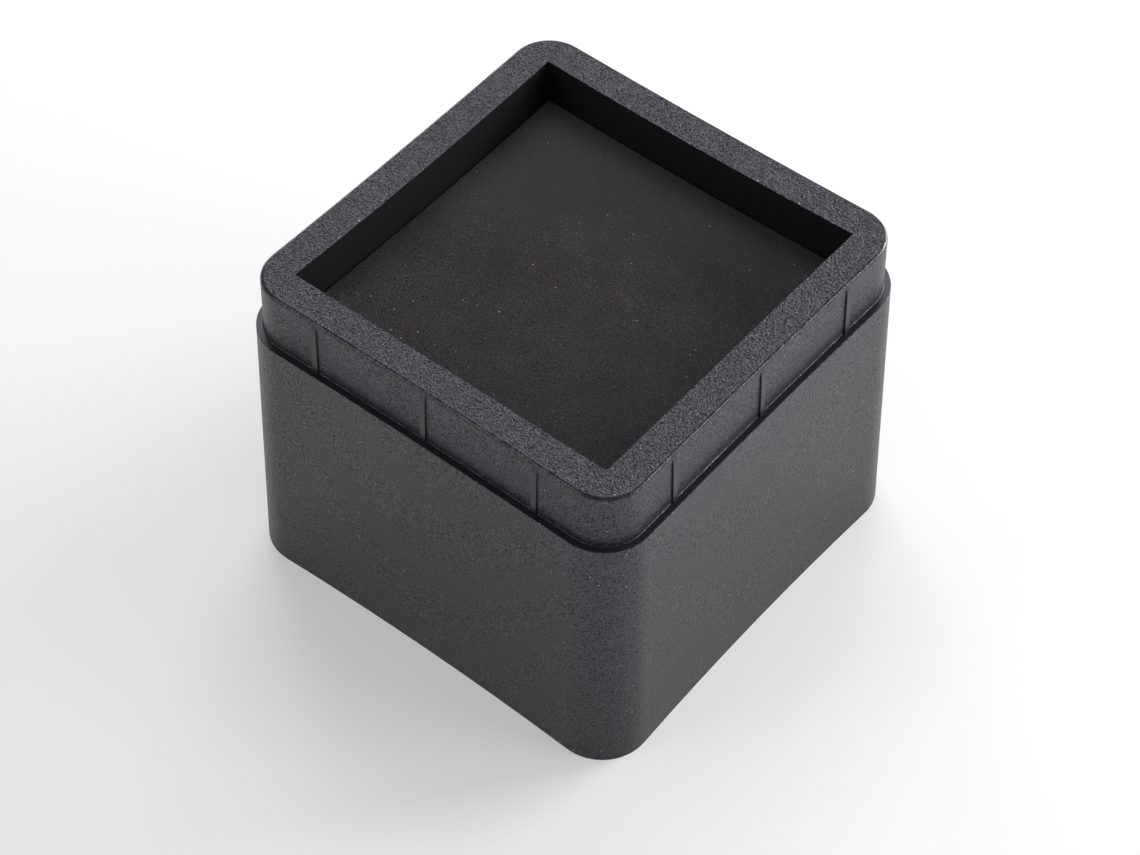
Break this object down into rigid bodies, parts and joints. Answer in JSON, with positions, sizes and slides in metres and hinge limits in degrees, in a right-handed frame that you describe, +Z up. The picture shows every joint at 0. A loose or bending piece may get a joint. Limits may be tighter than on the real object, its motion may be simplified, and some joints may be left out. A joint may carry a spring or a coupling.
{
  "type": "bed riser",
  "caption": "Square hollow riser that stands under a bed or furniture leg, with a stacking collar round its top and a padded square recess for the leg.",
  "frame": {"origin": "centre of the foot, on the floor", "axes": "+Z up through the recess; +X and -Y are the two sides that the picture shows"},
  "size_m": [0.106, 0.106, 0.085],
  "materials": {
    "body": "spark-eroded matt black, coarse on the rim and fine on the sides",
    "pad": "matt closed-cell foam, fine grained"
  },
  "bodies": {
    "root": {"riser_body": "body", "foam_pad": "pad"}
  },
  "joints": []
}
